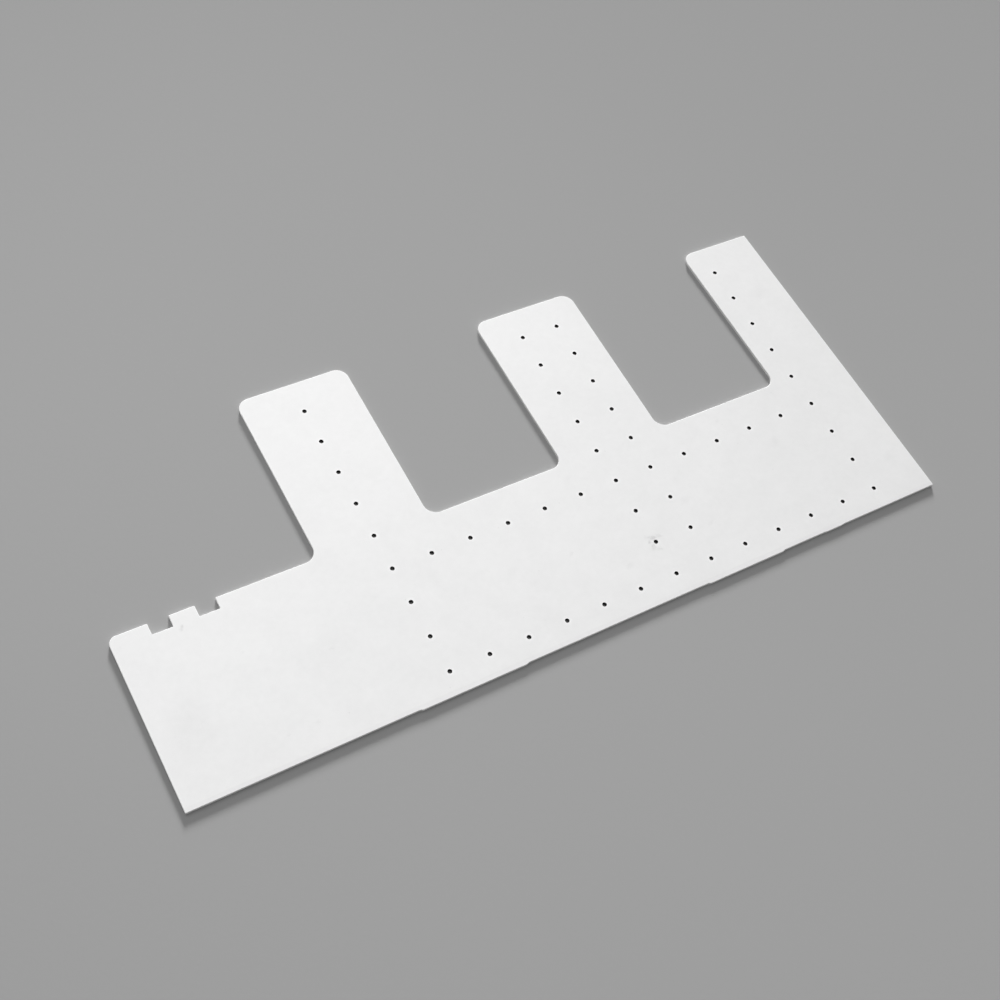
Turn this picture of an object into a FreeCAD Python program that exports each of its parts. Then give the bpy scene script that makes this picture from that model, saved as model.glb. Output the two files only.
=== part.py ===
import FreeCAD, Part
import math
import os

# Laser-cut alumina ceramic carrier: one thin flat plate with a straight long
# edge, three fingers on the opposite side, two locating notches and rows of
# small through holes. Three low lands stand proud on the straight edge.
# Frame: origin under the middle of the plate's outline, at the underside.
# +X runs along the plate from its plain end to its finger-flush end, +Y runs
# from the straight long edge to the fingertips, +Z runs up through the
# thickness. Millimetres.

# ---- driving dimensions --------------------------------------------------
plate_length = 198.0        # overall, along X
thickness = 0.8             # overall, along Z
body_depth = 41.9           # lands of the long edge to the shoulder and the slot floors
finger_length = 45.1        # slot floors to the fingertips

# fingers, measured from the plain end
finger_1_start = 48.55
finger_1_width = 28.0
finger_2_start = 112.8
finger_2_width = 28.0
finger_3_start = 177.0      # the third finger is flush with the plate's end

# locating notches in the shoulder
notch_width = 4.7
notch_depth = 2.8
notch_starts = (8.9, 19.5)

# the long edge: most of it lies back from its lands, which end in short ramps
edge_setback = 0.24
# start from the plain end, length, and how far each stands proud
edge_lands = (
    (52.9, 26.3, 0.24),
    (128.6, 21.9, 0.24),
    (163.4, 5.2, 0.12),
)
land_ramp = 0.6

# corners
fingertip_radius = 3.0      # outer corners of the fingertips
slot_radius = 3.0           # inner corners where a finger meets the body
shoulder_radius = 2.0       # outer corner of the shoulder at the plain end
square_radius = 0.2         # the corners that are cut square
kerf_radius = 0.15          # inner corners of the notches, as wide as the cut
edge_break = 0.1            # small chamfer along both rims of the outline

# small through holes, on a grid of columns and rows
hole_diameter = 1.0
column_pitch = 10.0
row_pitch = 9.15
first_column = 62.5         # column 0, from the plain end
last_row = 5.55             # row 8, from the lands of the long edge
columns = 13
rows = 9
full_columns = (0, 6, 7, 12)    # drilled in every row
full_rows = (5, 8)              # drilled in every column

# ---- derived -------------------------------------------------------------
overall_depth = body_depth + finger_length
shift_x = -plate_length / 2.0
shift_y = -overall_depth / 2.0


def corner_list():
    """Corners of the outline, anticlockwise, each with its radius."""
    f1a, f1b = finger_1_start, finger_1_start + finger_1_width
    f2a, f2b = finger_2_start, finger_2_start + finger_2_width
    f3a, f3b = finger_3_start, plate_length
    low, top = body_depth, overall_depth
    corners = [(0.0, edge_setback, square_radius)]
    for start, length, proud in edge_lands:
        end = start + length
        crest = edge_setback - proud
        corners += [
            (start - land_ramp / 2.0, edge_setback, 0.0),
            (start + land_ramp / 2.0, crest, 0.0),
            (end - land_ramp / 2.0, crest, 0.0),
            (end + land_ramp / 2.0, edge_setback, 0.0),
        ]
    corners += [
        (plate_length, edge_setback, square_radius),
        (f3b, top, square_radius),
        (f3a, top, fingertip_radius),
        (f3a, low, slot_radius),
        (f2b, low, slot_radius),
        (f2b, top, fingertip_radius),
        (f2a, top, fingertip_radius),
        (f2a, low, slot_radius),
        (f1b, low, slot_radius),
        (f1b, top, fingertip_radius),
        (f1a, top, fingertip_radius),
        (f1a, low, slot_radius),
    ]
    for start in sorted(notch_starts, reverse=True):
        a, b = start, start + notch_width
        floor = low - notch_depth
        corners += [
            (b, low, square_radius),
            (b, floor, kerf_radius),
            (a, floor, kerf_radius),
            (a, low, square_radius),
        ]
    corners.append((0.0, low, shoulder_radius))
    return [(x + shift_x, y + shift_y, r) for x, y, r in corners]


def rounded_wire(corners):
    """A closed wire of straight runs joined by tangent arcs, or by plain corners where the radius is 0."""
    n = len(corners)
    arcs = []
    for i in range(n):
        px, py, _ = corners[i - 1]
        x, y, r = corners[i]
        qx, qy, _ = corners[(i + 1) % n]
        back = FreeCAD.Vector(px - x, py - y, 0).normalize()
        ahead = FreeCAD.Vector(qx - x, qy - y, 0).normalize()
        point = FreeCAD.Vector(x, y, 0)
        if r == 0.0:
            arcs.append((point, None, point))
            continue
        # all rounded turns are right angles, so the tangent points lie r from the corner
        start = point + back * r
        end = point + ahead * r
        centre = point + (back + ahead) * r
        middle = centre + (point - centre).normalize() * r
        arcs.append((start, middle, end))
    edges = []
    for i in range(n):
        start, middle, end = arcs[i]
        if middle is not None:
            edges.append(Part.Arc(start, middle, end).toShape())
        edges.append(Part.LineSegment(end, arcs[(i + 1) % n][0]).toShape())
    return Part.Wire(edges)


def hole_centres():
    centres = []
    for j in range(rows):
        for i in range(columns):
            if i in full_columns or j in full_rows:
                x = first_column + i * column_pitch
                y = last_row + (rows - 1 - j) * row_pitch
                centres.append((x + shift_x, y + shift_y))
    return centres


# ---- the plate -----------------------------------------------------------
outline = rounded_wire(corner_list())
plate = Part.Face(outline).extrude(FreeCAD.Vector(0, 0, thickness))

# both rims of the outline are broken by a small chamfer
rims = []
for edge in plate.Edges:
    box = edge.BoundBox
    if box.ZLength < 1e-6:
        rims.append(edge)
plate = plate.makeChamfer(edge_break, rims)

# the small through holes
drills = []
for x, y in hole_centres():
    drills.append(
        Part.makeCylinder(
            hole_diameter / 2.0, thickness + 2.0, FreeCAD.Vector(x, y, -1.0)
        )
    )
plate = plate.cut(Part.makeCompound(drills))
if plate.ShapeType != "Solid":
    plate = plate.Solids[0]

box = plate.BoundBox
print("solids", len(plate.Solids), "valid", plate.isValid(), "faces", len(plate.Faces))
print("holes", len(drills), "volume_mm3", round(plate.Volume, 2))
print("size_mm", round(box.XLength, 3), round(box.YLength, 3), round(box.ZLength, 3))
print("low corner", round(box.XMin, 3), round(box.YMin, 3), round(box.ZMin, 3))
flat = plate_length * body_depth + (
    finger_1_width + finger_2_width + plate_length - finger_3_start
) * finger_length - len(notch_starts) * notch_width * notch_depth
flat -= len(drills) * math.pi * hole_diameter ** 2 / 4.0
flat -= plate_length * edge_setback - sum(
    length * proud for start, length, proud in edge_lands
)
print("hand sum of the same volume, without corners and chamfers", round(flat * thickness, 2))

os.makedirs("parts", exist_ok=True)
plate.exportStep("parts/carrier_plate.step")
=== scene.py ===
import math

import bpy
import numpy as np
from mathutils import Matrix, Vector, geometry


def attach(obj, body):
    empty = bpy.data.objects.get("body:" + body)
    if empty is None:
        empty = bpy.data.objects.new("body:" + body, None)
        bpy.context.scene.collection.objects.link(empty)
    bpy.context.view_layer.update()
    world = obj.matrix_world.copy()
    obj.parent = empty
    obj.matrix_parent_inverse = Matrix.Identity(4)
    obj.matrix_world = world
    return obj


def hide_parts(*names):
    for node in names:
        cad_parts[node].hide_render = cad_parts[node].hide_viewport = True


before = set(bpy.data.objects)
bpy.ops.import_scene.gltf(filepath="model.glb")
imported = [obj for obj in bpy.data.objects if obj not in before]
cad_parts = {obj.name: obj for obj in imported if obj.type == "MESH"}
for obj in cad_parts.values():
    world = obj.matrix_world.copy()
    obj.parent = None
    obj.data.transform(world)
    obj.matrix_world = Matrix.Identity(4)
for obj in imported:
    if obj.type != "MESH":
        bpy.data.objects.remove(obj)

scene = bpy.context.scene
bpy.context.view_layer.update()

# The plate is worked out in millimetres and written to its mesh in metres.
MM = 0.001

# ---------------------------------------------------------------- camera ---
# Solved from the grid of small holes.
CAMERA_AT = (-0.13648336, -0.13532420, 0.28297822)
CAMERA_RIGHT = Vector((0.859606, -0.479154, 0.177450))
CAMERA_UP = Vector((0.331591, 0.787354, 0.519732))
LENS_MM = 52.3188

camera_data = bpy.data.cameras.new("camera")
camera_data.sensor_width = 36.0
camera_data.lens = LENS_MM
camera_data.clip_start = 0.01
camera_data.clip_end = 50.0
camera = bpy.data.objects.new("camera", camera_data)
scene.collection.objects.link(camera)
right = CAMERA_RIGHT.normalized()
back = right.cross(CAMERA_UP).normalized()
up = back.cross(right).normalized()
turn = Matrix((right, up, back)).transposed()
camera.matrix_world = Matrix.Translation(CAMERA_AT) @ turn.to_4x4()
scene.camera = camera

# ------------------------------------------------------ plate dimensions ---
LENGTH, THICK = 198.0, 0.79999      # a hair under 0.8, so that rounding never lifts it above the plate's box
BODY, FINGER = 41.9, 45.1
DEPTH = BODY + FINGER
FINGERS = ((48.55, 28.0), (112.8, 28.0))
FINGER_3 = 177.0
NOTCH_WIDTH, NOTCH_DEPTH, NOTCHES = 4.7, 2.8, (8.9, 19.5)
SETBACK = 0.24
LANDS = ((52.9, 26.3, 0.24), (128.6, 21.9, 0.24), (163.4, 5.2, 0.12))
RAMP = 0.6
TIP_R, SLOT_R, SHOULDER_R, SQUARE_R, KERF_R = 3.0, 3.0, 2.0, 0.2, 0.15
HOLE_R = 0.5
PITCH_X, PITCH_Y = 10.0, 9.15
FIRST_X, LAST_Y = 62.5, 5.55
COLUMNS, ROWS = 13, 9
FULL_COLUMNS, FULL_ROWS = (0, 6, 7, 12), (5, 8)

RIM_R = 0.1          # rounding of both rims of the outline
HOLE_RIM = 0.035     # rounding at both mouths of a hole
HOLE_STEPS = 40      # points round a hole
RUN_STEP = 1.4       # spacing of points along straight runs

chance = np.random.default_rng(20641)


def corner_list():
    """Corners of the outline, anticlockwise, each with its radius."""
    (f1, w1), (f2, w2) = FINGERS
    low, top = BODY, DEPTH
    c = [(0.0, SETBACK, SQUARE_R)]
    for start, length, proud in LANDS:
        end, crest = start + length, SETBACK - proud
        c += [
            (start - RAMP / 2, SETBACK, 0.0),
            (start + RAMP / 2, crest, 0.0),
            (end - RAMP / 2, crest, 0.0),
            (end + RAMP / 2, SETBACK, 0.0),
        ]
    c += [
        (LENGTH, SETBACK, SQUARE_R),
        (LENGTH, top, SQUARE_R),
        (FINGER_3, top, TIP_R),
        (FINGER_3, low, SLOT_R),
        (f2 + w2, low, SLOT_R),
        (f2 + w2, top, TIP_R),
        (f2, top, TIP_R),
        (f2, low, SLOT_R),
        (f1 + w1, low, SLOT_R),
        (f1 + w1, top, TIP_R),
        (f1, top, TIP_R),
        (f1, low, SLOT_R),
    ]
    for start in sorted(NOTCHES, reverse=True):
        a, b, floor = start, start + NOTCH_WIDTH, low - NOTCH_DEPTH
        c += [(b, low, SQUARE_R), (b, floor, KERF_R), (a, floor, KERF_R), (a, low, SQUARE_R)]
    c.append((0.0, low, SHOULDER_R))
    return [(np.array((x - LENGTH / 2, y - DEPTH / 2)), r) for x, y, r in c]


def unit(v):
    return v / np.linalg.norm(v)


def outline():
    """Points of the outline and their outward normals, anticlockwise."""
    corners = corner_list()
    n = len(corners)
    arcs = []
    for i in range(n):
        p, (c, r), q = corners[i - 1][0], corners[i], corners[(i + 1) % n][0]
        to_p, to_q = unit(p - c), unit(q - c)
        if r == 0.0:
            n1, n2 = np.array((-to_p[1], to_p[0])), np.array((to_q[1], -to_q[0]))
            arcs.append([(c, unit(n1 + n2))])
            continue
        centre = c + (to_p + to_q) * r
        a0 = math.atan2(*(to_p * r + c - centre)[::-1])
        a1 = math.atan2(*(to_q * r + c - centre)[::-1])
        sweep = (a1 - a0 + math.pi) % (2 * math.pi) - math.pi
        side = 1.0 if sweep > 0 else -1.0
        steps = 20 if r > 2.5 else 16 if r > 1.0 else 8
        arc = []
        for k in range(steps + 1):
            a = a0 + sweep * k / steps
            radial = np.array((math.cos(a), math.sin(a)))
            arc.append((centre + radial * r, radial * side))
        arcs.append(arc)
    points, normals = [], []
    for i in range(n):
        for p, m in arcs[i]:
            points.append(p)
            normals.append(m)
        a, b = arcs[i][-1][0], arcs[(i + 1) % n][0][0]
        gap = float(np.linalg.norm(b - a))
        d = unit(b - a)
        m = np.array((d[1], -d[0]))
        steps = max(1, int(round(gap / RUN_STEP)))
        for k in range(1, steps):
            points.append(a + (b - a) * k / steps)
            normals.append(m)
    return np.array(points), np.array(normals)


def hole_centres():
    found = []
    for j in range(ROWS):
        for i in range(COLUMNS):
            if i in FULL_COLUMNS or j in FULL_ROWS:
                found.append((
                    FIRST_X + i * PITCH_X - LENGTH / 2,
                    LAST_Y + (ROWS - 1 - j) * PITCH_Y - DEPTH / 2,
                ))
    return np.array(found)


def distance_to_outline(q, line, block=1500):
    """Distance from each point q to the closed polyline."""
    a, b = line, np.roll(line, -1, 0)
    d = b - a
    dd = (d ** 2).sum(1)
    out = np.empty(len(q))
    for s in range(0, len(q), block):
        w = q[s:s + block, None, :] - a[None]
        t = np.clip((w * d).sum(2) / dd, 0, 1)
        out[s:s + block] = np.sqrt(((w - t[..., None] * d) ** 2).sum(2)).min(1)
    return out


def inside(q, line):
    """Whether each point q lies inside the closed polyline."""
    a, b = line, np.roll(line, -1, 0)
    x, y = q[:, 0][:, None], q[:, 1][:, None]
    crosses = (a[:, 1] > y) != (b[:, 1] > y)
    with np.errstate(divide="ignore", invalid="ignore"):
        at = (b[:, 0] - a[:, 0]) * (y - a[:, 1]) / (b[:, 1] - a[:, 1]) + a[:, 0]
    return (crosses & (x < at)).sum(1) % 2 == 1


# ------------------------------------------------------------- the plate ---
class Shape:
    """Vertices with analytic normals, faces with a material each."""

    def __init__(self):
        self.co, self.no, self.along = [], [], []
        self.faces, self.mats = [], []

    def ring(self, xy, z, normals, along):
        first = len(self.co)
        for p, m, s in zip(xy, normals, along):
            self.co.append((p[0], p[1], z))
            self.no.append(m)
            self.along.append(s)
        return list(range(first, len(self.co)))

    def band(self, upper, lower, mat, hole=False):
        n = len(upper)
        for i in range(n):
            k = (i + 1) % n
            face = (upper[i], lower[i], lower[k], upper[k])
            self.faces.append(face[::-1] if hole else face)
            self.mats.append(mat)


FACE, CUT, BORE_SKIN_AND_SHADE = 0, 1, 2
shape = Shape()

edge_xy, edge_n = outline()
steps_along = np.linalg.norm(np.roll(edge_xy, -1, 0) - edge_xy, axis=1)
edge_s = np.concatenate(([0.0], np.cumsum(steps_along)[:-1]))
perimeter = float(steps_along.sum())


def wander(s, total, waves, rng):
    """A smooth closed curve between 0 and 1 along a loop."""
    value = np.zeros(len(s))
    for count, size in waves:
        value += size * np.sin(2 * math.pi * count * s / total + rng.uniform(0, 2 * math.pi))
    most = sum(size for _, size in waves)
    return 0.5 + 0.5 * value / most


# the cut edge wanders inward by up to a few hundredths of a millimetre
edge_in = 0.022 * wander(edge_s, perimeter, ((23, 1.0), (61, 0.8), (137, 0.6), (211, 0.4)), chance)


def rim_profile(top_r, bottom_r, steps=5):
    """(inset, height, outward part, upward part) down the edge of the plate."""
    rows = []
    for k in range(steps):
        a = math.pi / 2 * (1 - k / (steps - 1))
        rows.append((top_r * (1 - math.cos(a)), THICK - top_r + top_r * math.sin(a), math.cos(a), math.sin(a)))
    rows.append((0.004, THICK * 0.62, 1.0, 0.0))
    rows.append((0.010, THICK * 0.36, 1.0, 0.0))
    for k in range(steps):
        a = -math.pi / 2 * k / (steps - 1)
        rows.append((0.012 + bottom_r * (1 - math.cos(a)), bottom_r + bottom_r * math.sin(a), math.cos(a), math.sin(a)))
    return rows


rings = []
profile = rim_profile(RIM_R, 0.08)
for inset, z, out_part, up_part in profile:
    xy = edge_xy - edge_n * (inset + edge_in)[:, None]
    normals = np.c_[edge_n * out_part, np.full(len(edge_n), up_part)]
    rings.append(shape.ring(xy, z, normals, edge_s))
for k in range(len(rings) - 1):
    on_rim = k < 4 or k >= len(rings) - 5
    shape.band(rings[k], rings[k + 1], FACE if on_rim else CUT)

# the small holes: round, very slightly tapered and never quite true
centres = hole_centres()
angles = np.arange(HOLE_STEPS) * 2 * math.pi / HOLE_STEPS
radial = np.c_[np.cos(angles), np.sin(angles)]
mouths_top, mouths_bottom = [], []
for cx, cy in centres:
    lobes = (
        1
        + 0.010 * np.cos(2 * angles + chance.uniform(0, 6.28))
        + 0.008 * np.cos(3 * angles + chance.uniform(0, 6.28))
        + 0.006 * np.cos(5 * angles + chance.uniform(0, 6.28))
    )
    r_top = HOLE_R * 0.998 * lobes
    r_low = HOLE_R * 0.91 * (1 + (lobes - 1) * 0.6)
    rows = []
    for k in range(4):
        a = math.pi / 2 * (1 - k / 3)
        rows.append((r_top + HOLE_RIM * (1 - math.cos(a)), THICK - HOLE_RIM + HOLE_RIM * math.sin(a), -math.cos(a), math.sin(a)))
    rows.append((r_top * 0.6 + r_low * 0.4, THICK * 0.5, -1.0, 0.0))
    for k in range(4):
        a = -math.pi / 2 * k / 3
        rows.append((r_low + 0.04 * (1 - math.cos(a)), 0.04 + 0.04 * math.sin(a), -math.cos(a), math.sin(a)))
    made = []
    for r, z, out_part, up_part in rows:
        xy = np.array((cx, cy)) + radial * r[:, None]
        normals = np.c_[radial * out_part, np.full(HOLE_STEPS, up_part)]
        made.append(shape.ring(xy, z, normals, angles))
    for k in range(len(made) - 1):
        shape.band(made[k], made[k + 1], BORE_SKIN_AND_SHADE, hole=True)
    mouths_top.append(made[0])
    mouths_bottom.append(made[-1])


def fill(ring, mouths, z, upward, fine):
    """The flat face inside a ring of the outline, with the holes left open."""
    line = np.array([shape.co[i][:2] for i in ring])
    extra = []
    for inset, gap in ((0.25, 1), (0.55, 1), (0.95, 2), (1.6, 2)) if fine else ((0.5, 2), (1.4, 3)):
        q = (edge_xy - edge_n * (inset + 0.12))[::gap]
        q = q[inside(q, line)]
        extra.append(q[distance_to_outline(q, line) > inset * 0.9])
    for reach, count in ((0.12, 20), (0.3, 16), (0.6, 14), (1.1, 12)) if fine else ((0.35, 14), (1.0, 12)):
        a = np.arange(count) * 2 * math.pi / count + reach
        for cx, cy in centres:
            r = HOLE_R + HOLE_RIM + reach
            extra.append(np.c_[cx + r * np.cos(a), cy + r * np.sin(a)])
    pitch = 2.6 if fine else 3.4
    gx, gy = np.meshgrid(
        np.arange(-LENGTH / 2 + 1.3, LENGTH / 2, pitch), np.arange(-DEPTH / 2 + 1.3, DEPTH / 2, pitch)
    )
    gx = gx + np.where(np.arange(gx.shape[0]) % 2 == 0, 0.0, pitch / 2)[:, None]
    q = np.c_[gx.ravel(), gy.ravel()]
    q = q + chance.uniform(-0.25, 0.25, q.shape)
    q = q[inside(q, line)]
    q = q[distance_to_outline(q, line) > 2.3]
    near = np.sqrt(((q[:, None] - centres[None]) ** 2).sum(2)).min(1)
    extra.append(q[near > 2.4])
    extra = np.vstack(extra)

    loops = [ring] + mouths
    index, edges = [], []
    for loop in loops:
        first = len(index)
        index += loop
        edges += [(first + i, first + (i + 1) % len(loop)) for i in range(len(loop))]
    fixed = len(index)
    coords = [Vector(shape.co[i][:2]) for i in index] + [Vector(p) for p in extra]
    out_co, _, out_faces, orig, _, _ = geometry.delaunay_2d_cdt(coords, edges, [], 1, 1e-6)
    normal = (0.0, 0.0, 1.0 if upward else -1.0)
    mouth_of = {i: k for k, mouth in enumerate(mouths) for i in mouth}
    mapped = []
    for co, source in zip(out_co, orig):
        kept = [i for i in source if i < fixed]
        if kept:
            mapped.append(index[kept[0]])
        else:
            mapped.append(len(shape.co))
            shape.co.append((co[0], co[1], z))
            shape.no.append(normal)
            shape.along.append(0.0)
    flat = np.array([tuple(c) for c in out_co])
    for face in out_faces:
        # three points of one mouth: the triangle closes a hole
        owners = {mouth_of.get(mapped[i]) for i in face}
        if len(owners) == 1 and None not in owners:
            continue
        a, b, c = (flat[i] for i in face[:3])
        ccw = (b[0] - a[0]) * (c[1] - a[1]) - (b[1] - a[1]) * (c[0] - a[0]) > 0
        ids = [mapped[i] for i in face]
        shape.faces.append(tuple(ids if ccw == upward else ids[::-1]))
        shape.mats.append(FACE)


fill(rings[0], mouths_top, THICK, True, True)
fill(rings[-1], mouths_bottom, 0.0, False, False)

co = np.array(shape.co)
mesh = bpy.data.meshes.new("carrier_plate_body")
mesh.from_pydata([Vector(p) * MM for p in shape.co], [], shape.faces)
mesh.validate()
mesh.polygons.foreach_set("use_smooth", [True] * len(mesh.polygons))
mesh.polygons.foreach_set("material_index", shape.mats)
to_edge = distance_to_outline(co[:, :2], edge_xy)
to_hole = np.empty(len(co))
for s in range(0, len(co), 4000):
    to_hole[s:s + 4000] = np.sqrt(((co[s:s + 4000, None, :2] - centres[None]) ** 2).sum(2)).min(1) - HOLE_R
for name, values in (("edge_mm", to_edge), ("hole_mm", to_hole), ("along_mm", shape.along)):
    attribute = mesh.attributes.new(name, "FLOAT", "POINT")
    attribute.data.foreach_set("value", np.asarray(values, np.float32))
mesh.normals_split_custom_set_from_vertices([Vector(m).normalized() for m in shape.no])
mesh.update()

plate = bpy.data.objects.new("carrier_plate_body", mesh)
scene.collection.objects.link(plate)


# ------------------------------------------------------------- materials ---
class Nodes:
    """Short calls for a material's node tree."""

    def __init__(self, name):
        self.material = bpy.data.materials.new(name)
        self.material.use_nodes = True
        self.tree = self.material.node_tree
        self.tree.nodes.clear()
        self.out = self.tree.nodes.new("ShaderNodeOutputMaterial")
        self.bsdf = self.tree.nodes.new("ShaderNodeBsdfPrincipled")
        self.tree.links.new(self.bsdf.outputs[0], self.out.inputs[0])

    def node(self, kind, **inputs):
        n = self.tree.nodes.new(kind)
        for key, value in inputs.items():
            setattr(n, key, value)
        return n

    def plug(self, value, socket):
        if isinstance(value, bpy.types.NodeSocket):
            self.tree.links.new(value, socket)
        else:
            socket.default_value = value

    def math(self, operation, a, b=None, c=None, clamp=False):
        n = self.node("ShaderNodeMath", operation=operation, use_clamp=clamp)
        for value, socket in zip((a, b, c), n.inputs):
            if value is not None:
                self.plug(value, socket)
        return n.outputs[0]

    def millimetres(self):
        coords = self.node("ShaderNodeTexCoord")
        n = self.node("ShaderNodeVectorMath", operation="SCALE")
        self.plug(coords.outputs["Object"], n.inputs[0])
        n.inputs["Scale"].default_value = 1000.0
        return n.outputs[0]

    def noise(self, vector, scale, detail=2.0, roughness=0.5, distortion=0.0):
        n = self.node("ShaderNodeTexNoise")
        self.plug(vector, n.inputs["Vector"])
        n.inputs["Scale"].default_value = scale
        n.inputs["Detail"].default_value = detail
        n.inputs["Roughness"].default_value = roughness
        n.inputs["Distortion"].default_value = distortion
        return n.outputs[0]

    def attribute(self, name):
        n = self.node("ShaderNodeAttribute", attribute_type="GEOMETRY", attribute_name=name)
        return n.outputs["Fac"]

    def remap(self, value, a, b, to_a, to_b, smooth=True):
        n = self.node("ShaderNodeMapRange", interpolation_type="SMOOTHSTEP" if smooth else "LINEAR", clamp=True)
        self.plug(value, n.inputs[0])
        for socket, v in zip(n.inputs[1:5], (a, b, to_a, to_b)):
            socket.default_value = v
        return n.outputs[0]

    def vector(self, x, y, z):
        n = self.node("ShaderNodeCombineXYZ")
        for value, socket in zip((x, y, z), n.inputs):
            self.plug(value, socket)
        return n.outputs[0]

    def split(self, vector):
        n = self.node("ShaderNodeSeparateXYZ")
        self.plug(vector, n.inputs[0])
        return n.outputs

    def tint(self, value, red, green, blue):
        n = self.node("ShaderNodeCombineColor")
        for k, socket in zip((red, green, blue), n.inputs):
            self.plug(self.math("MULTIPLY", value, k, clamp=True), socket)
        return n.outputs[0]

    def bump(self, height, distance, normal=None):
        n = self.node("ShaderNodeBump")
        n.inputs["Strength"].default_value = 1.0
        n.inputs["Distance"].default_value = distance
        self.plug(height, n.inputs["Height"])
        if normal is not None:
            self.plug(normal, n.inputs["Normal"])
        return n.outputs[0]


# faint marks on the top face: x, y, half length, half width, turn, depth
MARKS = (
    # the smudge round one hole
    (23.10, -28.60, 2.30, 1.90, 40, 0.018),
    (23.28, -27.60, 1.35, 0.82, 160, 0.160),
    (22.02, -28.25, 0.65, 0.55, 24, 0.130),
    (22.21, -29.79, 1.35, 0.75, 61, 0.075),
    (23.20, -30.77, 1.50, 0.50, 167, 0.060),
    (24.97, -27.64, 1.10, 0.65, 149, 0.080),
    (22.00, -26.93, 0.90, 0.65, 148, 0.035),
    # beside a notch
    (-83.89, -5.38, 1.25, 0.52, 48, 0.120),
    # small grey specks
    (-67.1, -36.7, 0.75, 0.55, 15, 0.040),
    (-73.7, -36.8, 0.60, 0.50, 0, 0.034),
    (-74.7, -16.0, 0.55, 0.50, 0, 0.030),
    (-57.4, -22.7, 0.80, 0.55, 30, 0.038),
    (3.1, -23.6, 1.00, 0.60, 25, 0.040),
    (56.9, -5.6, 0.90, 0.65, 0, 0.034),
    (38.8, -29.8, 1.70, 0.75, 25, 0.028),
    (14.3, -31.9, 1.80, 0.90, 25, 0.030),
    # broad and soft
    (36.4, -21.9, 2.4, 1.3, 20, 0.018),
    (12.8, -5.6, 2.2, 1.3, 30, 0.018),
    (-11.9, -22.0, 2.2, 1.4, 10, 0.016),
    (67.4, -16.4, 2.4, 1.5, 35, 0.026),
    (91.2, 25.2, 4.4, 2.4, 15, 0.018),
    (93.8, -31.6, 3.2, 2.2, 20, 0.016),
    (-27.6, 25.0, 4.2, 2.9, 60, 0.016),
    (-91.0, -28.0, 10.5, 7.5, 75, 0.021),
    (-58.5, -23.0, 10.0, 6.5, 15, 0.014),
)


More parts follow.
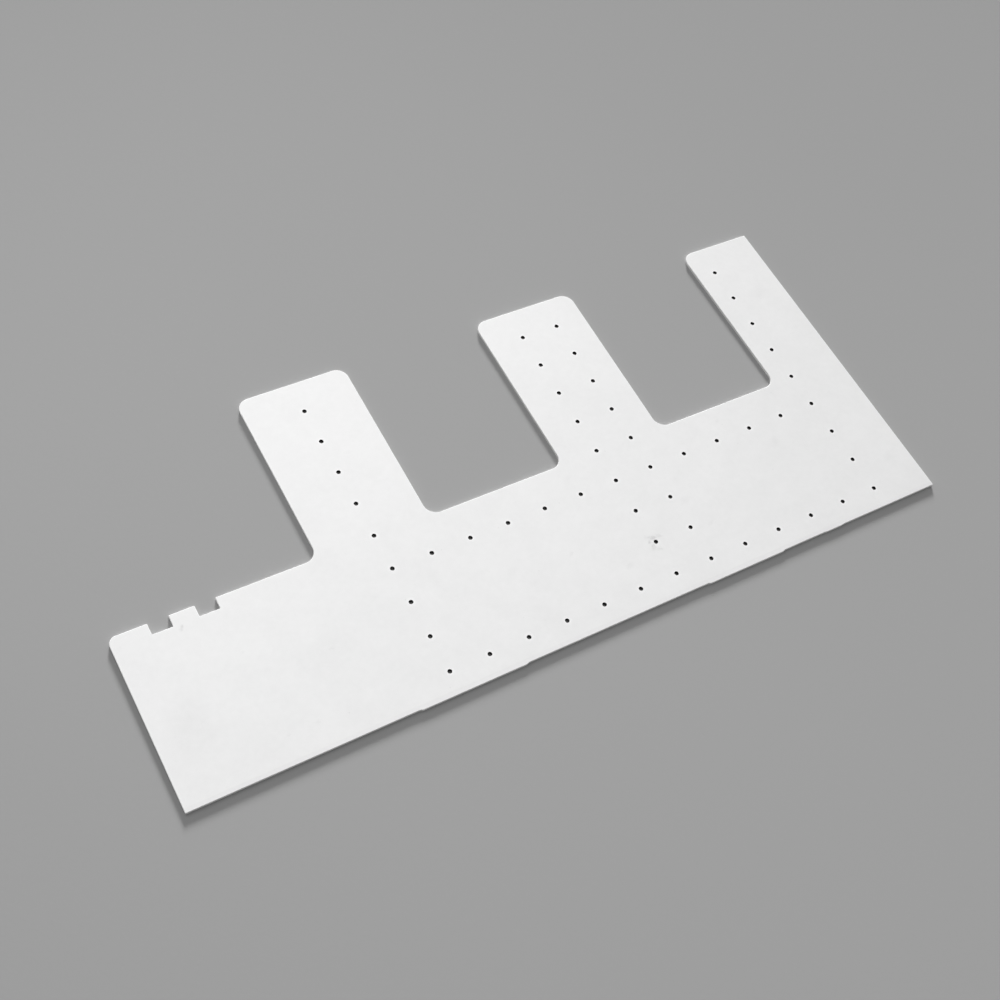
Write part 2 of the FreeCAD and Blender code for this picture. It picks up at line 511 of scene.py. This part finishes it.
def alumina_face():
    m = Nodes("alumina_face")
    p = m.millimetres()
    cloud = m.noise(p, 0.03, 2.0, 0.5)
    mottle = m.noise(p, 0.16, 3.0, 0.55, 0.3)
    grain = m.noise(p, 4.2, 4.0, 0.6)
    fine = m.noise(p, 17.0, 2.0, 0.6)
    x, y, z = m.split(p)

    # pinpoint specks, few and faint
    cells = m.node("ShaderNodeTexVoronoi", voronoi_dimensions="3D", feature="F1")
    m.plug(m.vector(x, y, m.math("MULTIPLY", z, 3.0)), cells.inputs["Vector"])
    cells.inputs["Scale"].default_value = 0.22
    chosen = m.math("GREATER_THAN", m.split(cells.outputs["Color"])[0], 0.55)
    speck = m.math("MULTIPLY", m.remap(cells.outputs["Distance"], 0.012, 0.05, 1.0, 0.0), chosen)

    # the marks have ragged outlines and patchy insides
    stir = m.node("ShaderNodeTexNoise")
    m.plug(p, stir.inputs["Vector"])
    stir.inputs["Scale"].default_value = 1.3
    stir.inputs["Detail"].default_value = 3.0
    ragged = p
    for operation, amount in (("SUBTRACT", (0.5, 0.5, 0.5)), ("MULTIPLY", (1.1, 1.1, 0.0))):
        step = m.node("ShaderNodeVectorMath", operation=operation)
        m.plug(stir.outputs["Color"] if operation == "SUBTRACT" else ragged, step.inputs[0])
        step.inputs[1].default_value = amount
        ragged = step.outputs[0]
    step = m.node("ShaderNodeVectorMath", operation="ADD")
    m.plug(ragged, step.inputs[0])
    m.plug(p, step.inputs[1])
    ragged = step.outputs[0]
    smudge = None
    for mx, my, rx, ry, deg, depth in MARKS:
        place = m.node("ShaderNodeMapping", vector_type="TEXTURE")
        m.plug(ragged, place.inputs["Vector"])
        place.inputs["Location"].default_value = (mx, my, THICK)
        place.inputs["Rotation"].default_value = (0.0, 0.0, math.radians(deg))
        place.inputs["Scale"].default_value = (rx, ry, 0.3)
        size = m.node("ShaderNodeVectorMath", operation="LENGTH")
        m.plug(place.outputs[0], size.inputs[0])
        spot = m.remap(size.outputs["Value"], 0.25, 1.0, depth, 0.0)
        smudge = spot if smudge is None else m.math("ADD", smudge, spot)
    smudge = m.math("MULTIPLY", smudge, m.remap(m.noise(p, 2.2, 4.0, 0.65), 0.32, 0.66, 0.55, 1.45, smooth=False))

    # painted highlight: the face is painted a shade paler beside the outline and round each hole
    painted_edge_highlight = m.remap(m.attribute("edge_mm"), 0.1, 0.85, 1.0, 0.0)
    painted_hole_highlight = m.remap(m.attribute("hole_mm"), 0.1, 0.95, 1.0, 0.0)
    # the face is a little darker in a strip along the straight edge
    strip = m.math(
        "MULTIPLY",
        m.remap(y, -DEPTH / 2 + 1.05, -DEPTH / 2 + 1.5, 1.0, 0.0),
        m.remap(m.noise(m.vector(x, 0.0, 0.0), 0.03, 1.0), 0.35, 0.65, 0.6, 1.0),
    )

    def add(total, value, middle, amount):
        return m.math("MULTIPLY_ADD", m.math("SUBTRACT", value, middle), amount, total)

    shade = add(1.0, cloud, 0.5, 0.05)
    shade = add(shade, mottle, 0.5, 0.042)
    shade = add(shade, m.noise(p, 0.75, 2.0, 0.5), 0.5, 0.048)
    shade = add(shade, grain, 0.5, 0.040)
    # painted highlight along the outline and round the holes
    shade = m.math("MULTIPLY_ADD", painted_edge_highlight, 0.02, shade)
    shade = m.math("MULTIPLY_ADD", painted_hole_highlight, 0.065, shade)
    shade = m.math("MULTIPLY_ADD", strip, -0.04, shade)
    shade = m.math("MULTIPLY_ADD", speck, -0.10, shade)
    shade = m.math("SUBTRACT", shade, smudge)
    m.plug(m.tint(shade, 0.90, 0.90, 0.90), m.bsdf.inputs["Base Color"])

    rough = add(0.56, mottle, 0.5, 0.16)
    rough = add(rough, grain, 0.5, 0.22)
    rough = m.math("MULTIPLY_ADD", smudge, -0.6, rough)
    m.plug(rough, m.bsdf.inputs["Roughness"])
    m.bsdf.inputs["IOR"].default_value = 1.76
    m.bsdf.inputs["Specular IOR Level"].default_value = 0.35

    wave = m.bump(m.noise(p, 0.075, 2.0, 0.45), 0.00005)
    wave = m.bump(grain, 0.0000045, wave)
    wave = m.bump(fine, 0.0000012, wave)
    m.plug(wave, m.bsdf.inputs["Normal"])
    return m.material


def alumina_cut():
    """The cut side: fine upright striations, rougher towards the underside."""
    m = Nodes("alumina_cut")
    p = m.millimetres()
    x, y, z = m.split(p)
    along = m.attribute("along_mm")
    lines = m.noise(m.vector(m.math("MULTIPLY", along, 6.5), m.math("MULTIPLY", z, 0.9), 0.0), 1.0, 3.0, 0.6, 0.4)
    broad = m.noise(m.vector(m.math("MULTIPLY", along, 0.35), z, 0.0), 1.0, 2.0, 0.5)
    grit = m.noise(p, 9.0, 4.0, 0.65)
    depth = m.remap(z, 0.12, 0.62, 1.0, 0.0)

    def add(total, value, middle, amount):
        return m.math("MULTIPLY_ADD", m.math("SUBTRACT", value, middle), amount, total)

    shade = add(0.97, lines, 0.5, 0.16)
    shade = add(shade, broad, 0.5, 0.08)
    shade = add(shade, grit, 0.5, 0.10)
    shade = m.math("MULTIPLY_ADD", depth, -0.05, shade)
    m.plug(m.tint(shade, 0.84, 0.84, 0.833), m.bsdf.inputs["Base Color"])
    rough = add(0.62, lines, 0.5, 0.2)
    rough = m.math("MULTIPLY_ADD", depth, 0.12, rough)
    m.plug(rough, m.bsdf.inputs["Roughness"])
    m.bsdf.inputs["IOR"].default_value = 1.76
    m.bsdf.inputs["Specular IOR Level"].default_value = 0.35
    relief = m.bump(lines, 0.00003)
    relief = m.bump(grit, 0.000008, relief)
    m.plug(relief, m.bsdf.inputs["Normal"])
    return m.material


def bore_skin_and_painted_shade():
    """The wall and mouths of a small hole: a dark glassy skin left by the beam, painted near black so that it also
    carries the painted shade inside the hole.
    """
    m = Nodes("bore_skin_and_painted_shade")
    p = m.millimetres()
    x, y, z = m.split(p)
    drip = m.noise(m.vector(m.math("MULTIPLY", x, 5.0), m.math("MULTIPLY", y, 5.0), m.math("MULTIPLY", z, 1.2)), 1.0, 3.0, 0.6)
    grit = m.noise(p, 11.0, 3.0, 0.6)
    shade = m.math("MULTIPLY_ADD", m.math("SUBTRACT", drip, 0.5), 0.7, 1.0)
    shade = m.math("MULTIPLY_ADD", m.math("SUBTRACT", grit, 0.5), 0.5, shade)
    # painted shade: the bore is coloured nearly black, darker than the beam's skin alone
    m.plug(m.tint(shade, 0.036, 0.035, 0.034), m.bsdf.inputs["Base Color"])
    m.plug(m.math("MULTIPLY_ADD", m.math("SUBTRACT", grit, 0.5), 0.3, 0.5), m.bsdf.inputs["Roughness"])
    m.bsdf.inputs["Specular IOR Level"].default_value = 0.3
    relief = m.bump(drip, 0.00002)
    m.plug(relief, m.bsdf.inputs["Normal"])
    return m.material


for material in (alumina_face(), alumina_cut(), bore_skin_and_painted_shade()):
    mesh.materials.append(material)

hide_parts("carrier_plate")
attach(plate, "root")

# ----------------------------------------------------------------- stage ---
# a pale, wide, level floor
FLOOR_Z = -0.00003
floor_profile = [(0.0, FLOOR_Z), (0.4, FLOOR_Z), (1.2, FLOOR_Z), (4.0, FLOOR_Z), (12.0, FLOOR_Z)]
sides = 96
fv, ff = [(0.0, 0.0, FLOOR_Z)], []
for r, z in floor_profile[1:]:
    for i in range(sides):
        a = 2 * math.pi * i / sides
        fv.append((r * math.cos(a), r * math.sin(a), z))
for i in range(sides):
    ff.append((0, 1 + i, 1 + (i + 1) % sides))
for k in range(len(floor_profile) - 2):
    for i in range(sides):
        a, b = 1 + k * sides, 1 + (k + 1) * sides
        j = (i + 1) % sides
        ff.append((a + i, b + i, b + j, a + j))
floor_mesh = bpy.data.meshes.new("floor")
floor_mesh.from_pydata(fv, [], ff)
floor_mesh.polygons.foreach_set("use_smooth", [True] * len(ff))
floor = bpy.data.objects.new("floor", floor_mesh)
scene.collection.objects.link(floor)


def floor_paper():
    m = Nodes("floor_paper")
    p = m.millimetres()
    x, y, z = m.split(p)
    pulp = m.noise(p, 0.9, 3.0, 0.6)
    broad = m.noise(p, 0.006, 1.0, 0.5)
    # painted light: the floor is painted a little brighter towards the plate's flush end
    painted_light_drift = m.remap(m.math("SUBTRACT", m.math("MULTIPLY", x, 0.87), m.math("MULTIPLY", y, 0.49)), -150.0, 150.0, -1.0, 1.0, smooth=False)
    shade = m.math("MULTIPLY_ADD", m.math("SUBTRACT", pulp, 0.5), 0.02, 1.0)
    # both settle to one even tone well away from the plate
    away = m.node("ShaderNodeVectorMath", operation="LENGTH")
    m.plug(p, away.inputs[0])
    near = m.remap(away.outputs["Value"], 300.0, 900.0, 1.0, 0.0)
    # random tone plus the painted light gradient
    tone_and_painted_light = m.math("MULTIPLY_ADD", m.math("SUBTRACT", broad, 0.5), 0.04, m.math("MULTIPLY", painted_light_drift, 0.05))
    shade = m.math("MULTIPLY_ADD", tone_and_painted_light, near, shade)
    m.plug(m.tint(shade, 0.40, 0.40, 0.40), m.bsdf.inputs["Base Color"])
    m.bsdf.inputs["Roughness"].default_value = 0.95
    m.bsdf.inputs["Specular IOR Level"].default_value = 0.0
    m.plug(m.bump(pulp, 0.00001), m.bsdf.inputs["Normal"])
    return m.material


floor_mesh.materials.append(floor_paper())

# ---------------------------------------------------------------- lights ---
def aim(obj, at, target):
    obj.location = at
    obj.rotation_mode = "QUATERNION"
    obj.rotation_quaternion = (Vector(at) - Vector(target)).to_track_quat("Z", "Y")


def sun(name, azimuth, elevation, strength, angle):
    data = bpy.data.lights.new(name, "SUN")
    data.energy = strength
    data.angle = math.radians(angle)
    obj = bpy.data.objects.new(name, data)
    scene.collection.objects.link(obj)
    a, e = math.radians(azimuth), math.radians(elevation)
    aim(obj, (math.cos(a) * math.cos(e), math.sin(a) * math.cos(e), math.sin(e)), (0, 0, 0))
    return obj


def softbox(name, at, target, width, height, power):
    data = bpy.data.lights.new(name, "AREA")
    data.shape = "RECTANGLE"
    data.size, data.size_y = width, height
    data.energy = power
    obj = bpy.data.objects.new(name, data)
    obj.visible_camera = False
    scene.collection.objects.link(obj)
    aim(obj, at, target)
    return obj


# a low soft light from behind the far right corner draws the short shadows
sun("low_key", 63.0, 15.0, 4.98, 11.5)
# a box above the first finger lifts that side
softbox("high_fill", (-0.088, 0.105, 0.25), (0.0, 0.0, 0.0), 0.25, 0.25, 0.195)

world = bpy.data.worlds.new("studio")
scene.world = world
world.use_nodes = True
wt = world.node_tree
wt.nodes.clear()
w_out = wt.nodes.new("ShaderNodeOutputWorld")
w_bg = wt.nodes.new("ShaderNodeBackground")
w_tc = wt.nodes.new("ShaderNodeTexCoord")
w_sep = wt.nodes.new("ShaderNodeSeparateXYZ")
w_map = wt.nodes.new("ShaderNodeMapRange")
w_map.interpolation_type = "SMOOTHSTEP"
wt.links.new(w_tc.outputs["Generated"], w_sep.inputs[0])
wt.links.new(w_sep.outputs[2], w_map.inputs[0])
for socket, value in zip(w_map.inputs[1:5], (0.0, 0.95, 0.476, 0.270)):
    socket.default_value = value
wt.links.new(w_map.outputs[0], w_bg.inputs["Strength"])
w_bg.inputs["Color"].default_value = (1.0, 1.0, 1.0, 1.0)
wt.links.new(w_bg.outputs[0], w_out.inputs[0])

scene.view_settings.view_transform = "Standard"
scene.view_settings.look = "None"

# ------------------------------------------------------------------ size ---
print("triangles", sum(len(f.vertices) - 2 for f in mesh.polygons))
